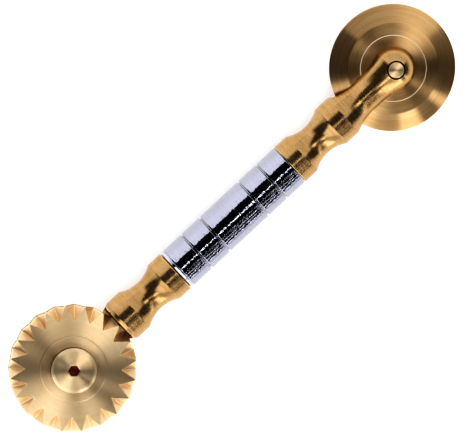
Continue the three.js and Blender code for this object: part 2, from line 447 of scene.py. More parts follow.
def arm_sections(collar_r, reach, flat):
    """Sections from the far end of the ball to the closed end of the tapped hole."""
    sections = []
    end_angle = math.acos(flat / BALL_R)
    ball_steps = 30
    for i in range(1, ball_steps):
        a = end_angle * (1 - i / ball_steps)
        sections.append(milled_section(-BALL_R * math.sin(a), BALL_R * math.cos(a), flat))
    outline = arm_outline(collar_r, reach)
    near = [p for p in outline if p[1] < SHOULDER_AT - SHOULDER_CHAMFER]
    far = outline[len(near):]
    while far[0][1] < SHOULDER_AT + SHOULDER_CHAMFER * 1.2:
        far = far[1:]
    sections += [milled_section(d, r, flat) for r, d in near]
    run = FRONT_COLLAR[0] - NECK_AT
    shoulder_r = hollow_radius(NECK_R, collar_r, run, SHOULDER_AT - NECK_AT)
    behind_r = hollow_radius(NECK_R, collar_r, run, SHOULDER_AT + SHOULDER_CHAMFER - NECK_AT)
    start = flat_corner(shoulder_r, flat)[2]
    chamfered = shoulder_r - SHOULDER_CHAMFER
    sections.append(milled_section(SHOULDER_AT, shoulder_r, flat))
    sections.append(round_section(SHOULDER_AT, shoulder_r, start, chamfered))
    sections.append(round_section(SHOULDER_AT + SHOULDER_CHAMFER, behind_r, start))
    sections += [round_section(d, r, start) for r, d in far if r > 0]
    return sections


def lofted(sections, first_point, last_point):
    """Vertices and faces of a skin over sections of equal counts, closed by a point at each end."""
    count = len(sections[0])
    verts = [first_point]
    for section in sections:
        verts += section
    verts.append(last_point)
    faces = []
    for k in range(count):
        faces.append([0, 1 + k, 1 + (k + 1) % count])
    for s in range(len(sections) - 1):
        a = 1 + s * count
        b = a + count
        for k in range(count):
            n = (k + 1) % count
            faces.append([a + k, b + k, b + n, a + n])
    end = 1 + (len(sections) - 1) * count
    for k in range(count):
        faces.append([end + k, len(verts) - 1, end + (k + 1) % count])
    return verts, faces


def arm(end, material):
    low, high = end_box(end, "arm")
    collar_r = high.y
    reach = -low.x
    flat = end_box(end, "arm_washer")[1].z + FLAT_ABOVE_WASHER
    sections = arm_sections(collar_r, reach, flat)
    tip = (math.sqrt(BALL_R**2 - flat**2), 0, flat)
    verts, faces = lofted(sections, tip, (-(reach - TAP_DEPTH), 0, 0))
    node = end + "_arm"
    obj = new_object(detailed(node), finished_mesh(node, verts, faces), end_matrix(end))
    sink_start = math.sqrt(BALL_R**2 - COUNTERSINK_R**2)
    sink_depth = 2 * (COUNTERSINK_R - PIVOT_HOLE_R)
    hole = [
        (0, -BALL_R),
        (PIVOT_HOLE_R, -BALL_R),
        (PIVOT_HOLE_R, sink_start - sink_depth),
        (COUNTERSINK_R, sink_start),
        (COUNTERSINK_R, 2 * BALL_R),
        (0, 2 * BALL_R),
    ]
    cut(obj, *revolve(hole, sides=96))
    place(obj, node, "root", "polished_brass", material)


# ---------------------------------------------------------------------------------------------
# Wheels


def hub_corners(half_width):
    """The outline of a wheel's middle on its upper face, from the disc's face in to the bore."""
    foot, rim, bore = HUB_FILLETS
    return [
        (HUB_R, half_width - HUB_STEP, foot),
        (HUB_R, half_width, rim),
        (WHEEL_BORE_R, half_width, bore),
    ]


def flipped(corners):
    """The same corners on the lower face, in the order that carries the outline on."""
    return [(c[0], -c[1], c[2]) for c in reversed(corners)]


def plain_wheel(material):
    low, high = end_box("plain", "wheel")
    radius = high.y
    half = (high.z - low.z) / 2
    upper = [
        (radius, KNIFE_EDGE / 2, KNIFE_FILLET),
        (BEVEL_R, half - HUB_STEP, BEVEL_FILLET),
        *hub_corners(half),
    ]
    outline = rounded([*upper, *flipped(upper)], closed=True)
    mesh = finished_mesh("plain_wheel", *revolve(outline, sides=256, closed=True))
    middle = Matrix.Translation((0, 0, (high.z + low.z) / 2))
    obj = new_object(detailed("plain_wheel"), mesh, end_matrix("plain") @ middle)
    place(obj, "plain_wheel", "plain_wheel", "turned_brass", material)


def chamfered_rim(z, radius, face, outer):
    """Radius of the crimping wheel's blank at a height. Only its outer face is chamfered."""
    inwards, deep = RIM_CHAMFER
    start = face - deep
    if not outer or z <= start:
        return radius
    return radius - inwards * min(1, (z - start) / deep)


class GroovedFace:
    """One face of the crimping wheel, as a half pitch from a groove's bottom to a land's middle.

    The face looks up, and the groove's bottom is at angle 0.
    """

    ROWS = 8  # from the groove's apex to the rim
    LAND_COLUMNS = 4

    def __init__(self, radius, face, outer):
        self.radius = radius
        self.face = face
        self.outer = outer
        self.half_pitch = math.pi / GROOVE_COUNT
        self.apex = Vector((GROOVE_APEX_R, 0, face))
        self.bottom = Vector((radius, 0, face - GROOVE_DEPTH))
        tip = (radius * math.cos(self.half_pitch), radius * math.sin(self.half_pitch), face)
        self.tip = Vector(tip)
        self.normal = (self.bottom - self.apex).cross(self.tip - self.apex)
        self.land_r = chamfered_rim(face, radius, face, outer)

    def flank_height(self, x, y):
        """Height of the groove's flank, with its bottom rounded."""
        across = y / max(x - GROOVE_APEX_R, 1e-9)
        whole = self.tip.y / (self.tip.x - GROOVE_APEX_R)
        share = across / whole
        z = self.plane_height(x, y)
        if share < VALLEY_SHARE:
            lift = (VALLEY_SHARE - share) ** 2 / (2 * VALLEY_SHARE)
            slope = self.plane_height(x, whole * (x - GROOVE_APEX_R)) - self.plane_height(x, 0)
            z += slope * lift
        return z

    def plane_height(self, x, y):
        n = self.normal
        return self.apex.z - (n.x * (x - self.apex.x) + n.y * (y - self.apex.y)) / n.z

    def rim_point(self, angle):
        """Where the flank, or the land past its edge, meets the blank's rim at that angle."""
        r = self.radius
        for _ in range(12):
            x, y = r * math.cos(angle), r * math.sin(angle)
            z = min(self.flank_height(x, y), self.face)
            r = chamfered_rim(z, self.radius, self.face, self.outer)
        return Vector((r * math.cos(angle), r * math.sin(angle), z))

    def edge_angle(self):
        """Angle at which the groove's upper edge reaches the rim."""
        run = self.tip - self.apex
        low, high = 0.0, 1.0
        for _ in range(40):
            s = (low + high) / 2
            if (self.apex + run * s).xy.length < self.land_r:
                low = s
            else:
                high = s
        p = self.apex + run * high
        return math.atan2(p.y, p.x)

    def on_face(self, r, angle):
        return Vector((r * math.cos(angle), r * math.sin(angle), self.face))

    def land_row(self, start, t):
        """Points from the groove's edge to the land's middle, at a share of the way outwards."""
        columns = range(self.LAND_COLUMNS + 1)
        if t == 0:
            angles = [self.half_pitch * c / self.LAND_COLUMNS for c in columns]
            return [self.on_face(GROOVE_APEX_R, a) for a in angles]
        r = GROOVE_APEX_R + (self.land_r - GROOVE_APEX_R) * t
        end = self.on_face(r, self.half_pitch)
        return [start.lerp(end, c / self.LAND_COLUMNS) for c in columns]

    def grids(self, angles):
        """Rows of points over the flank and over the land, for rim points at those angles."""
        edge = self.edge_angle()
        flank_ends = [self.rim_point(a) for a in angles if a <= edge + 1e-6]
        flank = []
        land = []
        for s in range(self.ROWS + 1):
            t = s / self.ROWS
            flank.append([self.apex.lerp(e, t) for e in flank_ends])
            land.append(self.land_row(flank[s][-1], t))
        return flank, land


class Patchwork:
    """Collects grids of points as vertices and faces, to be welded afterwards."""

    def __init__(self):
        self.verts = []
        self.faces = []

    def add_grids(self, grids, place_point):
        for rows in grids:
            self.add_grid(rows, place_point)

    def add_grid(self, rows, place_point):
        base = len(self.verts)
        width = len(rows[0])
        for row in rows:
            self.verts += [place_point(p) for p in row]
        for i in range(len(rows) - 1):
            for j in range(width - 1):
                a = base + i * width + j
                self.faces.append([a, a + 1, a + width + 1, a + width])

    def add(self, verts, faces):
        base = len(self.verts)
        self.verts += verts
        self.faces += [[base + i for i in face] for face in faces]


def placed_at(angle, mirrored, upside_down):
    """Moves a point of a half pitch to its own place round the wheel."""
    cos_a, sin_a = math.cos(angle), math.sin(angle)
    across = -1 if mirrored else 1
    up = -1 if upside_down else 1

    def move(p):
        y = p.y * across
        return (p.x * cos_a - y * sin_a, p.x * sin_a + y * cos_a, p.z * up)

    return move


def mark_grooves(mesh):
    """Gives the grooves' flanks the second metal: neither level faces nor the upright rim."""
    least, most = FLANK_LEVEL
    for polygon in mesh.polygons:
        beyond_apex = polygon.center.xy.length > GROOVE_APEX_R
        if beyond_apex and least < abs(polygon.normal.z) < most:
            polygon.material_index = 1


def half_pitch_angles(face):
    """Angles over a half pitch, alike from both ends, with one at the edge of the groove."""
    half_pitch = face.half_pitch
    gap = half_pitch - face.edge_angle()
    valley = half_pitch * VALLEY_SHARE
    steps = 8
    between = [gap + (half_pitch - 2 * gap) * i / steps for i in range(1, steps + 1)]
    from_bottom = [0.0, gap, valley * 0.5, valley, *between]
    return sorted({round(a, 7) for b in from_bottom for a in (b, half_pitch - b)})


def rim_grid(outer, inner, angles):
    """Rows of points down the rim, from the outer face's edge to the inner face's."""
    levels = 6
    rows = []
    for i in range(levels + 1):
        row = []
        for a in angles:
            top = outer.rim_point(a)
            below = inner.rim_point(outer.half_pitch - a)
            z = top.z + (-below.z - top.z) * i / levels
            r = chamfered_rim(z, outer.radius, outer.face, True)
            row.append(Vector((r * math.cos(a), r * math.sin(a), z)))
        rows.append(row)
    return rows


def crimping_wheel(turned, milled):
    """The outer face looks down in the end's frame, as the screw's head does."""
    low, high = end_box("crimping", "wheel")
    half = (high.z - low.z) / 2
    face = half - HUB_STEP
    outer = GroovedFace(high.y, face, outer=True)
    inner = GroovedFace(high.y, face, outer=False)
    angles = half_pitch_angles(outer)
    outer_grids = outer.grids(angles)
    inner_grids = inner.grids(angles)
    rim = rim_grid(outer, inner, angles)
    wheel = Patchwork()
    for i in range(2 * GROOVE_COUNT):
        angle = GROOVE_PHASE + 2 * outer.half_pitch * (i // 2)
        mirrored = i % 2 == 1
        facing_down = placed_at(angle, mirrored, True)
        facing_up = placed_at(angle + outer.half_pitch, mirrored, False)
        wheel.add_grids(outer_grids, facing_down)
        wheel.add_grids(inner_grids, facing_up)
        wheel.add_grid(rim, facing_down)

    columns = 2 * GROOVE_COUNT * GroovedFace.LAND_COLUMNS
    hub = [(GROOVE_APEX_R, face, 0), *hub_corners(half)]
    middle = rounded([*hub, *flipped(hub)])
    wheel.add(*revolve(middle, sides=columns, phase=GROOVE_PHASE))

    mesh = finished_mesh("crimping_wheel", wheel.verts, wheel.faces)
    centre = Matrix.Translation((0, 0, (high.z + low.z) / 2))
    obj = new_object(detailed("crimping_wheel"), mesh, end_matrix("crimping") @ centre)
    mark_grooves(mesh)
    place(obj, "crimping_wheel", "crimping_wheel", "turned_brass", turned, milled)


# ---------------------------------------------------------------------------------------------
# Screws and washers


def mark_socket(mesh, head_face):
    """Gives the socket's walls and floor the second metal, whose dark colour is painted shade."""
    for polygon in mesh.polygons:
        inside = polygon.center.xy.length < SOCKET_MOUTH_R
        depth = polygon.center.z - head_face
        if inside and SOCKET_SHADE_FROM < depth < 2 * SOCKET_DEPTH:
            polygon.material_index = 1


def cut_socket(obj, head_face):
    """Cuts the hexagon, with its drilled point, and the cone of its mouth."""
    corner_r = SOCKET_ACROSS_FLATS / math.sqrt(3)
    floor = head_face + SOCKET_DEPTH
    outside = head_face - HEAD_HEIGHT
    point = floor + SOCKET_POINT * corner_r
    hexagon = [(0, outside), (corner_r, outside), (corner_r, floor), (0, point)]
    cut(obj, *revolve(hexagon, sides=6, phase=SOCKET_TURN + math.pi / 6))
    mouth_depth = SOCKET_MOUTH_R - SOCKET_MOUTH_END * corner_r
    mouth = [
        (0, outside),
        (SOCKET_MOUTH_R + (head_face - outside), outside),
        (SOCKET_MOUTH_R - mouth_depth, head_face + mouth_depth),
        (0, head_face + mouth_depth),
    ]
    cut(obj, *revolve(mouth, sides=48))


def pivot_screw(end, turned, socket):
    low, high = end_box(end, "pivot_screw")
    washer_top = end_box(end, "arm_washer")[1].z
    head_top = low.z + HEAD_HEIGHT
    outline = [
        (0, low.z),
        (high.y, low.z, HEAD_ROUND),
        (high.y, head_top, HEAD_FILLET),
        (SHOULDER_R, head_top, SMALL_FILLET),
        (SHOULDER_R, washer_top, SMALL_FILLET),
        (THREAD_R, washer_top, 0),
        (THREAD_R, high.z - TIP_CHAMFER, TIP_FILLET),
        (THREAD_R - TIP_CHAMFER, high.z, TIP_FILLET),
        (0, high.z),
    ]
    node = end + "_pivot_screw"
    mesh = finished_mesh(node, *revolve(rounded(outline), sides=128))
    obj = new_object(detailed(node), mesh, end_matrix(end))
    cut_socket(obj, low.z)
    mark_socket(obj.data, low.z)
    place(obj, node, "root", "turned_brass", turned, socket)


def washer(end, part, material):
    low, high = end_box(end, part)
    corners = [
        (WASHER_BORE_R, low.z, SMALL_FILLET),
        (high.y, low.z, SMALL_FILLET),
        (high.y, high.z, SMALL_FILLET),
        (WASHER_BORE_R, high.z, SMALL_FILLET),
    ]
    node = end + "_" + part
    outline = rounded(corners, closed=True)
    mesh = finished_mesh(node, *revolve(outline, sides=96, closed=True))
    place(new_object(detailed(node), mesh, end_matrix(end)), node, "root", "turned_brass", material)


# ---------------------------------------------------------------------------------------------
# Grip


def bar_ring(node, corners, material):
    """A ring round the tie rod, from corners given from its own low end along the grip."""
    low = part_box(node)[0]
    outline = rounded(corners, closed=True)
    mesh = finished_mesh(node, *revolve(outline, closed=True))
    place(new_object(detailed(node), mesh, bar_matrix(low.x)), node, "root", "chrome", material)


def sleeve(node, material):
    low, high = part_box(node)
    length = high.x - low.x
    radius = high.z
    corners = [
        (BORE_R, 0, SMALL_FILLET),
        (radius, 0, SLEEVE_FILLET),
        (radius, length, SLEEVE_FILLET),
        (BORE_R, length, SMALL_FILLET),
    ]
    bar_ring(node, corners, material)


def spacer(node, material):
    low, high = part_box(node)
    width = high.x - low.x
    edge = SPACER_ROUND * width
    corners = [
        (BORE_R, 0, 0),
        (high.z, 0, edge),
        (high.z, width, edge),
        (BORE_R, width, 0),
    ]
    bar_ring(node, corners, material)


def end_ring(material):
    low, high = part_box("end_ring")
    width = high.x - low.x
    low_fillet, high_fillet = END_RING_FILLETS
    corners = [
        (BORE_R, 0, 0),
        (END_RING_R, 0, low_fillet),
        (high.z, END_RING_CONE * width, high_fillet),
        (high.z, width, SMALL_FILLET),
        (BORE_R, width, 0),
    ]
    bar_ring("end_ring", corners, material)


def thread_section(x, length, radius):
    """Points round the rod at a distance from its low end."""
    sides = 24
    chamfered = radius - ROD_CHAMFER + min(x, length - x)
    points = []
    for k in range(sides):
        share = (x / THREAD_PITCH - k / sides) % 1.0
        groove = max(0.0, 1 - abs(share - 0.5) / THREAD_HALF_GROOVE)
        r = min(radius - THREAD_DEPTH * groove, chamfered)
        a = 2 * math.pi * k / sides
        points.append((x, r * math.cos(a), r * math.sin(a)))
    return points


def tie_rod(material):
    """A rod with a cut thread from end to end, and a chamfer at each end."""
    low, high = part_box("tie_rod")
    length = high.x - low.x
    per_turn = 6
    rows = int(length / THREAD_PITCH * per_turn)
    places = [length * i / rows for i in range(rows + 1)]
    sections = [thread_section(x, length, high.z) for x in places]
    verts, faces = lofted(sections, (0, 0, 0), (length, 0, 0))
    mesh = finished_mesh("tie_rod", verts, faces)
    obj = new_object(detailed("tie_rod"), mesh, Matrix.Translation((low.x, 0, 0)))
    place(obj, "tie_rod", "root", "zinc_steel", material)


# ---------------------------------------------------------------------------------------------
# Materials


class Nodes:
    """Builds a node tree by calls that name each node's inputs."""

    def __init__(self, tree):
        self.tree = tree
        tree.nodes.clear()

    def add(self, kind, inputs=None, **settings):
        node = self.tree.nodes.new(kind)
        for name, value in settings.items():
            setattr(node, name, value)
        for key, value in (inputs or {}).items():
            self.feed(node.inputs[key], value)
        return node

    def feed(self, socket, value):
        if isinstance(value, bpy.types.NodeSocket):
            self.tree.links.new(value, socket)
        else:
            socket.default_value = value

    def math(self, operation, a, b=0.0, clamp=False):
        node = self.add("ShaderNodeMath", {0: a, 1: b}, operation=operation, use_clamp=clamp)
        return node.outputs[0]

    def ramp(self, value, low, high, out_low=0.0, out_high=1.0, smooth_step=True):
        """value from low to high becomes out_low to out_high, and stays there beyond."""
        node = self.add(
            "ShaderNodeMapRange",
            {0: value, 1: low, 2: high, 3: out_low, 4: out_high},
            interpolation_type="SMOOTHSTEP" if smooth_step else "LINEAR",
        )
        return node.outputs[0]

    def noise(self, vector, scale, detail=2.0, roughness=0.5):
        inputs = {"Vector": vector, "Scale": scale, "Detail": detail, "Roughness": roughness}
        return self.add("ShaderNodeTexNoise", inputs).outputs["Fac"]

    def combine(self, x, y, z):
        return self.add("ShaderNodeCombineXYZ", {0: x, 1: y, 2: z}).outputs[0]

    def mix_color(self, share, a, b):
        node = self.add("ShaderNodeMix", {0: share, 6: a, 7: b}, data_type="RGBA")
        return node.outputs[2]


# Shared by all the metals.
SCRATCH_STRETCH = (9.0, 0.35, 0.6)  # how quickly they change along X, Y and Z
SCRATCH_TURNS = (math.radians(35), math.radians(-62))
# outer edges take the edge colour: wear, and on the fine brass a painted highlight
WEAR_AND_GLINT_BEND = (0.12, 0.30)  # radians between two faces, at outer edges
# inner corners take the corner colour: painted shade, and on the milled brass a painted highlight
# along the grooves' valleys
RECESS_BEND = (-0.06, -0.30)  # the same, at inner corners
QUARTER_TURN = 0.25  # sets the highlights across the tool marks


def turned_coordinates(n, axis):
    """Distance from the axis and along it, in millimetres, and the place round it."""
    position = n.add("ShaderNodeTexCoord").outputs["Object"]
    in_mm = n.add("ShaderNodeVectorMath", {0: position, 1: (1000,) * 3}, operation="MULTIPLY")
    split = n.add("ShaderNodeSeparateXYZ", {0: in_mm.outputs[0]})
    x, y, z = split.outputs
    if axis == "X":
        x, y, z = y, z, x
    radius = n.math("SQRT", n.math("ADD", n.math("MULTIPLY", x, x), n.math("MULTIPLY", y, y)))
    safe = n.math("MAXIMUM", radius, 0.05)
    return {
        "mm": in_mm.outputs[0],
        "radius": radius,
        "along": z,
        "round_x": n.math("DIVIDE", x, safe),
        "round_y": n.math("DIVIDE", y, safe),
    }


def ring_noise(n, at, per_mm, wander, detail):
    """Noise that changes quickly across the tool marks and slowly along them."""
    across = n.math("MULTIPLY", n.math("ADD", at["radius"], at["along"]), per_mm)
    vector = n.combine(
        across,
        n.math("MULTIPLY", at["round_x"], wander),
        n.math("MULTIPLY", at["round_y"], wander),
    )
    return n.noise(vector, 1.0, detail)


def fine_scratches(n, at, turn, level):
    """Thin straight scratches in one direction, as a mask."""
    turned = n.add("ShaderNodeVectorRotate", {"Vector": at["mm"], "Angle": turn})
    stretched = n.add(
        "ShaderNodeVectorMath",
        {0: turned.outputs[0], 1: SCRATCH_STRETCH},
        operation="MULTIPLY",
    )
    lines = n.noise(stretched.outputs[0], 1.0, 3.0, 0.6)
    return n.ramp(lines, level, level + 0.03)


def surface_masks(n, at, look):
    """Where the tool marks, bands, scratches, worn edges and inner corners are."""
    bend = n.add("ShaderNodeAttribute", attribute_name="bend").outputs["Fac"]
    level = look["scratch_level"]
    one_way = fine_scratches(n, at, SCRATCH_TURNS[0], level)
    other_way = fine_scratches(n, at, SCRATCH_TURNS[1], level + 0.02)
    return {
        "marks": ring_noise(n, at, look["marks_per_mm"], look["wander"], 3.0),
        "bands": ring_noise(n, at, look["marks_per_mm"] / 6, 0.6, 2.0),
        "scratches": n.math("MAXIMUM", one_way, other_way),
        "wear_and_glint": n.ramp(bend, *WEAR_AND_GLINT_BEND),
        "corner_shade_and_glint": n.ramp(bend, *RECESS_BEND),
    }


def with_painted_shade(n, axis, colour, look):
    """The colour darkened where the surface faces a given way from the axis: painted shade, as in
    the gaps between the grip's rings and round the screws' heads.
    """
    normal = n.add("ShaderNodeTexCoord").outputs["Normal"]
    facing = n.add("ShaderNodeSeparateXYZ", {0: normal}).outputs["XYZ".index(axis)]
    start, full = look["painted_shade_span"]
    share = n.ramp(n.math("ABSOLUTE", facing), start, full, 0.0, look["painted_shade_share"])
    return n.mix_color(share, colour, look["painted_shade"])


def metal_colour(n, axis, at, masks, look):
    """Tool marks, then stains; painted shade in inner corners (a painted highlight along the milled
    grooves' valleys), lighter worn edges (a painted highlight on the fine brass), and painted shade
    where the surface faces a given way.
    """
    marks = n.math("ADD", masks["marks"], n.math("MULTIPLY", masks["bands"], 0.6))
    colour = n.mix_color(n.ramp(marks, 0.55, 1.05), look["dark"], look["light"])
    stains = n.noise(at["mm"], 0.12, 4.0, 0.6)
    stained = n.math("MULTIPLY", n.ramp(stains, 0.5, 0.72), look["stain_share"])
    colour = n.mix_color(stained, colour, look["stain"])
    # painted shade in inner corners; on the milled brass, a painted highlight along the grooves'
    # valleys
    corner_shade_and_glint = n.math("MULTIPLY", masks["corner_shade_and_glint"], look["corner_shade_and_glint_share"])
    colour = n.mix_color(corner_shade_and_glint, colour, look["corner"])
    # lighter outer edges: wear, and on the fine brass a painted highlight
    colour = n.mix_color(n.math("MULTIPLY", masks["wear_and_glint"], 0.6), colour, look["wear_and_glint"])
    # painted shade on surfaces that face a given way from the axis
    if look["painted_shade_share"]:
        colour = with_painted_shade(n, axis, colour, look)
    return colour


def metal_roughness(n, at, masks, look):
    blotches = n.noise(at["mm"], 0.9, 3.0, 0.55)
    rough = n.ramp(masks["marks"], 0.3, 0.7, look["rough_low"], look["rough_high"], False)
    rough = n.math("ADD", rough, n.math("MULTIPLY", blotches, look["rough_blotch"]))
    scratched = n.math("MULTIPLY", masks["scratches"], look["rough_scratch"])
    return n.math("ADD", rough, scratched, True)


def metal_relief(n, at, masks, look):
    """The normal, with tool marks, scratches and pits; their depths are in millimetres."""
    height = n.math("MULTIPLY", masks["marks"], look["mark_depth"])
    scratched = n.math("MULTIPLY", masks["scratches"], look["scratch_depth"])
    height = n.math("SUBTRACT", height, scratched)
    pits = n.noise(at["mm"], look["pit_scale"], look["pit_detail"], 0.6)
    height = n.math("ADD", height, n.math("MULTIPLY", pits, look["pit_depth"]))
    bump = n.add("ShaderNodeBump", {"Strength": 1.0, "Distance": MM, "Height": height})
    return bump.outputs[0]


def metal(name, axis, look):
    """A metal turned about an axis of its piece."""
    material = bpy.data.materials.new(name)
    material.use_nodes = True
    n = Nodes(material.node_tree)
    at = turned_coordinates(n, axis)
    masks = surface_masks(n, at, look)
    metallic = look["metallic"]
    # less metallic on worn edges, so their pale colour shows in diffuse light: the fine brass's
    # painted highlight
    if look["edge_sheen"]:
        sheen = n.math("MULTIPLY", masks["wear_and_glint"], look["edge_sheen"])
        metallic = n.math("SUBTRACT", metallic, sheen)
    tangent = n.add("ShaderNodeTangent", direction_type="RADIAL", axis=axis)
    shader = n.add(
        "ShaderNodeBsdfPrincipled",
        {
            "Base Color": metal_colour(n, axis, at, masks, look),
            "Metallic": metallic,
            "Roughness": metal_roughness(n, at, masks, look),
            "Anisotropic": look["anisotropy"],
            "Anisotropic Rotation": QUARTER_TURN,
            "Tangent": tangent.outputs[0],
            "Normal": metal_relief(n, at, masks, look),
        },
    )
    n.add("ShaderNodeOutputMaterial", {"Surface": shader.outputs[0]})
    return material


# What the looks hold. Colours are light and dark along the tool marks, stain, the corner colour
# (painted shade in inner corners; on milled brass a painted highlight along the grooves' valleys),
# the edge colour (wear on outer edges; on fine brass a painted highlight) and, last, a painted
# shade for surfaces that face a given way. Its span is how far the normal lies along the axis
# where that shade starts and where it is full. edge_sheen is taken off metallic on worn edges,
# which makes the fine brass's painted highlight, and anisotropy spreads the highlights across the
# tool marks. Depths are in millimetres.
TURNED_BRASS = {
    "light": (0.99, 0.79, 0.50, 1),
    "dark": (0.95, 0.71, 0.40, 1),
    "stain": (0.42, 0.20, 0.06, 1),
    # painted shade in inner corners
    "corner": (0.36, 0.16, 0.05, 1),
    "wear_and_glint": (0.99, 0.84, 0.56, 1),
    "stain_share": 0.12,
    "marks_per_mm": 4.0,
    "wander": 1.4,
    "rough_low": 0.34,
    "rough_high": 0.42,
    "rough_blotch": 0.04,
    "rough_scratch": 0.10,
    "metallic": 0.90,
    "corner_shade_and_glint_share": 0.5,
    "edge_sheen": 0.0,
    # painted shade on walls that face away from the axis, as round the screws' heads
    "painted_shade": (0.20, 0.08, 0.02, 1),
    "painted_shade_share": 0.9,
    "painted_shade_span": (0.50, 0.25),
    "pit_detail": 2.0,
    "scratch_level": 0.70,
    "mark_depth": 0.003,
    "scratch_depth": 0.002,
    "pit_scale": 2.5,
    "pit_depth": 0.003,
    "anisotropy": 1.0,
}

FINE_BRASS = {
    **TURNED_BRASS,
    "light": (0.80, 0.56, 0.29, 1),
    "dark": (0.70, 0.46, 0.21, 1),
    # near white on outer edges, mostly the hub's rim: a painted highlight over the wear
    "wear_and_glint": (1.0, 0.92, 0.76, 1),
    "metallic": 1.0,
    "edge_sheen": 0.7,
    "painted_shade_share": 0.0,
    "pit_depth": 0.001,
    "rough_low": 0.26,
    "rough_high": 0.31,
}

MILLED_BRASS = {
    **TURNED_BRASS,
    "light": (0.92, 0.70, 0.44, 1),
    "dark": (0.84, 0.60, 0.35, 1),
    # pale along the grooves' rounded valleys: a painted highlight
    "corner": (0.99, 0.88, 0.64, 1),
    "corner_shade_and_glint_share": 1.0,
    "metallic": 0.95,
    "painted_shade_share": 0.0,
    "marks_per_mm": 0.6,
    "wander": 30.0,
    "rough_low": 0.32,
    "rough_high": 0.42,
    "anisotropy": 0.0,
}

POLISHED_BRASS = {
    **TURNED_BRASS,
    "light": (0.60, 0.41, 0.205, 1),
    "dark": (0.50, 0.325, 0.135, 1),
    "stain": (0.38, 0.18, 0.05, 1),
    # painted shade in inner corners
    "corner": (0.30, 0.12, 0.03, 1),
    "wear_and_glint": (0.95, 0.72, 0.40, 1),
    "stain_share": 0.30,
    "marks_per_mm": 2.4,
    "rough_low": 0.15,
    "rough_high": 0.20,
    "rough_blotch": 0.05,
    "metallic": 0.91,
    "mark_depth": 0.0005,
    "scratch_level": 0.68,
    "pit_scale": 1.9,
    "pit_depth": 0.018,
    "anisotropy": 0.2,
    # painted shade on faces that look along the bar
    "painted_shade": (0.10, 0.04, 0.01, 1),
    "painted_shade_share": 0.7,
    "painted_shade_span": (0.78, 0.98),
}

# Inside the screws' sockets, dark red: painted shade.
SOCKET_SHADE = {
    **MILLED_BRASS,
    "light": (0.62, 0.16, 0.09, 1),
    "dark": (0.40, 0.09, 0.05, 1),
    "stain": (0.20, 0.03, 0.02, 1),
    "corner": (0.25, 0.05, 0.03, 1),
    "wear_and_glint": (0.80, 0.50, 0.26, 1),
    "metallic": 0.5,
}

CHROME = {
    **TURNED_BRASS,
    "light": (0.51, 0.51, 0.56, 1),
    "dark": (0.47, 0.47, 0.52, 1),
    # painted shade in inner corners
    "stain": (0.45, 0.45, 0.50, 1),
    "corner": (0.25, 0.25, 0.30, 1),
    "wear_and_glint": (0.90, 0.90, 0.93, 1),
    "stain_share": 0.10,
    "marks_per_mm": 1.0,
    "rough_low": 0.02,
    "rough_high": 0.05,
    "rough_blotch": 0.02,
    "rough_scratch": 0.08,
    "mark_depth": 0.0004,
    "scratch_depth": 0.001,
    "pit_scale": 1.5,
    "pit_detail": 1.0,
    "pit_depth": 0.042,
    "metallic": 1.0,
    # painted shade on faces that look along the grip: the gaps between sleeves and spacers
    "painted_shade": (0.01, 0.01, 0.03, 1),
    "painted_shade_share": 0.95,
    "painted_shade_span": (0.4, 0.6),
    "anisotropy": 0.0,
}

RING_CHROME = {
    **CHROME,
    "light": (0.66, 0.66, 0.72, 1),
    "dark": (0.60, 0.60, 0.66, 1),
    "painted_shade_share": 0.0,
    "pit_depth": 0.008,
}

ZINC_STEEL = {
    **CHROME,
    "light": (0.62, 0.62, 0.60, 1),
    "dark": (0.48, 0.48, 0.47, 1),
    "stain": (0.30, 0.28, 0.24, 1),
    "wear_and_glint": (0.75, 0.75, 0.74, 1),
    "stain_share": 0.4,
    "rough_low": 0.28,
    "rough_high": 0.42,
    "pit_depth": 0.003,
}


# ---------------------------------------------------------------------------------------------
# Studio


def add_camera():
    to_camera = Vector((0, math.sin(TILT), math.cos(TILT)))
    along = Vector((1, 0, 0))
    across = Vector((0, math.cos(TILT), -math.sin(TILT)))
    right = along * math.cos(ROLL) - across * math.sin(ROLL)
    up = along * math.sin(ROLL) + across * math.cos(ROLL)
    data = bpy.data.cameras.new("camera")
    data.sensor_width = SENSOR_WIDTH
    data.lens = SENSOR_WIDTH * CAMERA_DISTANCE / FRAME_WIDTH
    data.clip_start = 0.1
    data.clip_end = 20
    camera = bpy.data.objects.new("camera", data)
    bpy.context.scene.collection.objects.link(camera)
    low, high = cad_box
    target = (low + high) / 2 + up * FRAME_SHIFT_UP + right * FRAME_SHIFT_RIGHT
    turn = Matrix((right, up, to_camera)).transposed().to_4x4()
    camera.matrix_world = Matrix.Translation(target + to_camera * CAMERA_DISTANCE) @ turn
    bpy.context.scene.camera = camera


# Panels of light round the tool: azimuth from and to, elevation from and to, softness and strength.
# Azimuths run from the plain wheel's end towards the picture's upper left, all in degrees.
PANELS = {
    "back_softbox": (78, 97, -5, 50, 2.0, 0.85),
    "side_softbox": (-15, 78, -5, 58, 2.0, 0.66),
    "overhead_softbox": (-44, 8, 67, 80, 4.0, 1.8),
    "overhead_front": (198, 238, 60, 77, 4.0, 1.5),
    "front_softbox": (163, 222, -5, 62, 3.0, 1.0),
    "front_haze": (222, 244, -5, 62, 3.0, 0.5),
    "front_window": (244, 263, -5, 54, 1.5, 1.6),
    "front_slit": (279, 288, -5, 66, 1.0, 1.15),
    "table_sweep": (-80, 300, -5, 14, 3.0, 0.6),
}
FIRST_AZIMUTH = -70  # they run once round from here
LOUVRE = (267, 273, 12, 60, 1.5, 1.5)  # a panel like those, cut into level slats
SLAT_PITCH = 15.0  # degrees of elevation
SLAT_EDGE = (0.65, 0.9)  # of a wave that peaks once in each pitch
STRIP_ACROSS = (-5.6, -0.8, 0.4)  # degrees towards +Y from straight above, and softness
STRIP_ALONG = (-2.0, 2.0, 1.0)  # degrees towards +X
STRIP_STRENGTH = 3.2
LIGHT_TINT = (0.97, 0.98, 1.06)
ROOM_GREY = 0.006
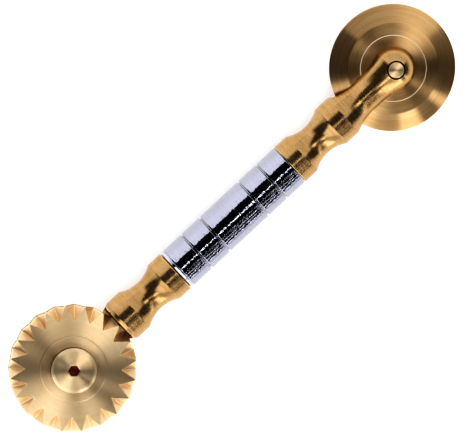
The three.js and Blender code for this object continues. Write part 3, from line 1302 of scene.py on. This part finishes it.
BACKDROP = (0.9, 0.9, 0.9, 1)  # what the camera sees past the floor
FLOOR_GREY = (0.62, 0.62, 0.62, 1)
FLOOR_GLOW = 0.31
FLOOR_HALF_WIDTH = 4.0


def band(n, value, low, high, soft):
    """1 between low and high, falling softly to 0 outside."""
    rise = n.ramp(value, low - soft, low + soft)
    fall = n.ramp(value, high - soft, high + soft, 1.0, 0.0)
    return n.math("MULTIPLY", rise, fall)


def panel_light(n, azimuth, elevation, panel):
    az_from, az_to, el_from, el_to, soft, strength = panel
    across = band(n, azimuth, az_from, az_to, soft)
    upright = band(n, elevation, el_from, el_to, soft)
    return n.math("MULTIPLY", n.math("MULTIPLY", across, upright), strength)


def louvre_light(n, azimuth, elevation):
    wave = n.math("COSINE", n.math("MULTIPLY", elevation, math.tau / SLAT_PITCH))
    return n.math("MULTIPLY", panel_light(n, azimuth, elevation, LOUVRE), n.ramp(wave, *SLAT_EDGE))


def strip_light(n, x, y, z):
    """A short bright strip straight above."""
    across = band(n, n.math("DEGREES", n.math("ARCTAN2", y, z)), *STRIP_ACROSS)
    along = band(n, n.math("DEGREES", n.math("ARCTAN2", x, z)), *STRIP_ALONG)
    return n.math("MULTIPLY", n.math("MULTIPLY", across, along), STRIP_STRENGTH)


def studio_light(n):
    """How bright the studio is in each direction: a dark room, with lights in it."""
    direction = n.add("ShaderNodeTexCoord").outputs["Generated"]
    x, y, z = n.add("ShaderNodeSeparateXYZ", {0: direction}).outputs
    elevation = n.math("DEGREES", n.math("ARCSINE", z))
    turned = n.math("DEGREES", n.math("ARCTAN2", y, x))
    past_first = n.math("MODULO", n.math("ADD", turned, 360 - FIRST_AZIMUTH), 360)
    azimuth = n.math("ADD", past_first, FIRST_AZIMUTH)
    total = ROOM_GREY
    for panel in PANELS.values():
        total = n.math("MAXIMUM", total, panel_light(n, azimuth, elevation, panel))
    total = n.math("MAXIMUM", total, louvre_light(n, azimuth, elevation))
    return n.math("ADD", total, strip_light(n, x, y, z))


def studio_world():
    """The studio's light on the metals. The camera itself sees a pale backdrop instead."""
    world = bpy.data.worlds.new("studio")
    world.use_nodes = True
    n = Nodes(world.node_tree)
    light = studio_light(n)
    tinted = n.add(
        "ShaderNodeVectorMath",
        {0: n.combine(light, light, light), 1: LIGHT_TINT},
        operation="MULTIPLY",
    )
    seen = n.add("ShaderNodeLightPath").outputs["Is Camera Ray"]
    lit = n.add("ShaderNodeBackground", {"Color": tinted.outputs[0]}).outputs[0]
    pale = n.add("ShaderNodeBackground", {"Color": BACKDROP}).outputs[0]
    chosen = n.add("ShaderNodeMixShader", {0: seen, 1: lit, 2: pale})
    n.add("ShaderNodeOutputWorld", {"Surface": chosen.outputs[0]})
    bpy.context.scene.world = world


def floor_light():
    """A broad soft light from above, for the floor: the metals don't mirror it."""
    data = bpy.data.lights.new("floor_light", "SUN")
    data.energy = 1.0
    data.angle = math.radians(70)
    light = bpy.data.objects.new("floor_light", data)
    light.visible_glossy = False
    bpy.context.scene.collection.objects.link(light)


def add_floor():
    half = FLOOR_HALF_WIDTH
    z = cad_box[0].z
    verts = [(-half, -half, z), (half, -half, z), (half, half, z), (-half, half, z)]
    mesh = bpy.data.meshes.new("floor")
    mesh.from_pydata(verts, [], [(0, 1, 2, 3)])
    floor = new_object("floor", mesh)
    material = bpy.data.materials.new("pale_floor")
    material.use_nodes = True
    n = Nodes(material.node_tree)
    shader = n.add(
        "ShaderNodeBsdfPrincipled",
        {
            "Base Color": FLOOR_GREY,
            "Roughness": 0.9,
            "Specular IOR Level": 0.1,
            "Emission Color": (1, 1, 1, 1),
            "Emission Strength": FLOOR_GLOW,
        },
    )
    n.add("ShaderNodeOutputMaterial", {"Surface": shader.outputs[0]})
    mesh.materials.append(material)


# ---------------------------------------------------------------------------------------------
# Making


def make_ends():
    turned = metal("turned_brass_detail", "Z", TURNED_BRASS)
    polished = metal("polished_brass_detail", "X", POLISHED_BRASS)
    # the sockets' walls and floors: painted shade
    socket = metal("socket_shade_detail", "Z", SOCKET_SHADE)
    for end in ("crimping", "plain"):
        arm(end, polished)
        washer(end, "arm_washer", turned)
        washer(end, "head_washer", turned)
        pivot_screw(end, turned, socket)
    crimping_wheel(turned, metal("milled_brass_detail", "Z", MILLED_BRASS))
    plain_wheel(metal("fine_brass_detail", "Z", FINE_BRASS))


def make_grip():
    chrome = metal("chrome_detail", "Z", CHROME)
    end_ring(metal("ring_chrome_detail", "Z", RING_CHROME))
    for i in range(1, 6):
        sleeve(f"grip_sleeve_{i}", chrome)
    for i in range(1, 5):
        spacer(f"grip_spacer_{i}", chrome)
    tie_rod(metal("zinc_steel_detail", "X", ZINC_STEEL))


add_camera()
studio_world()
floor_light()
add_floor()
make_ends()
make_grip()

scene = bpy.context.scene
scene.view_settings.view_transform = "Standard"
scene.view_settings.look = "Very High Contrast"
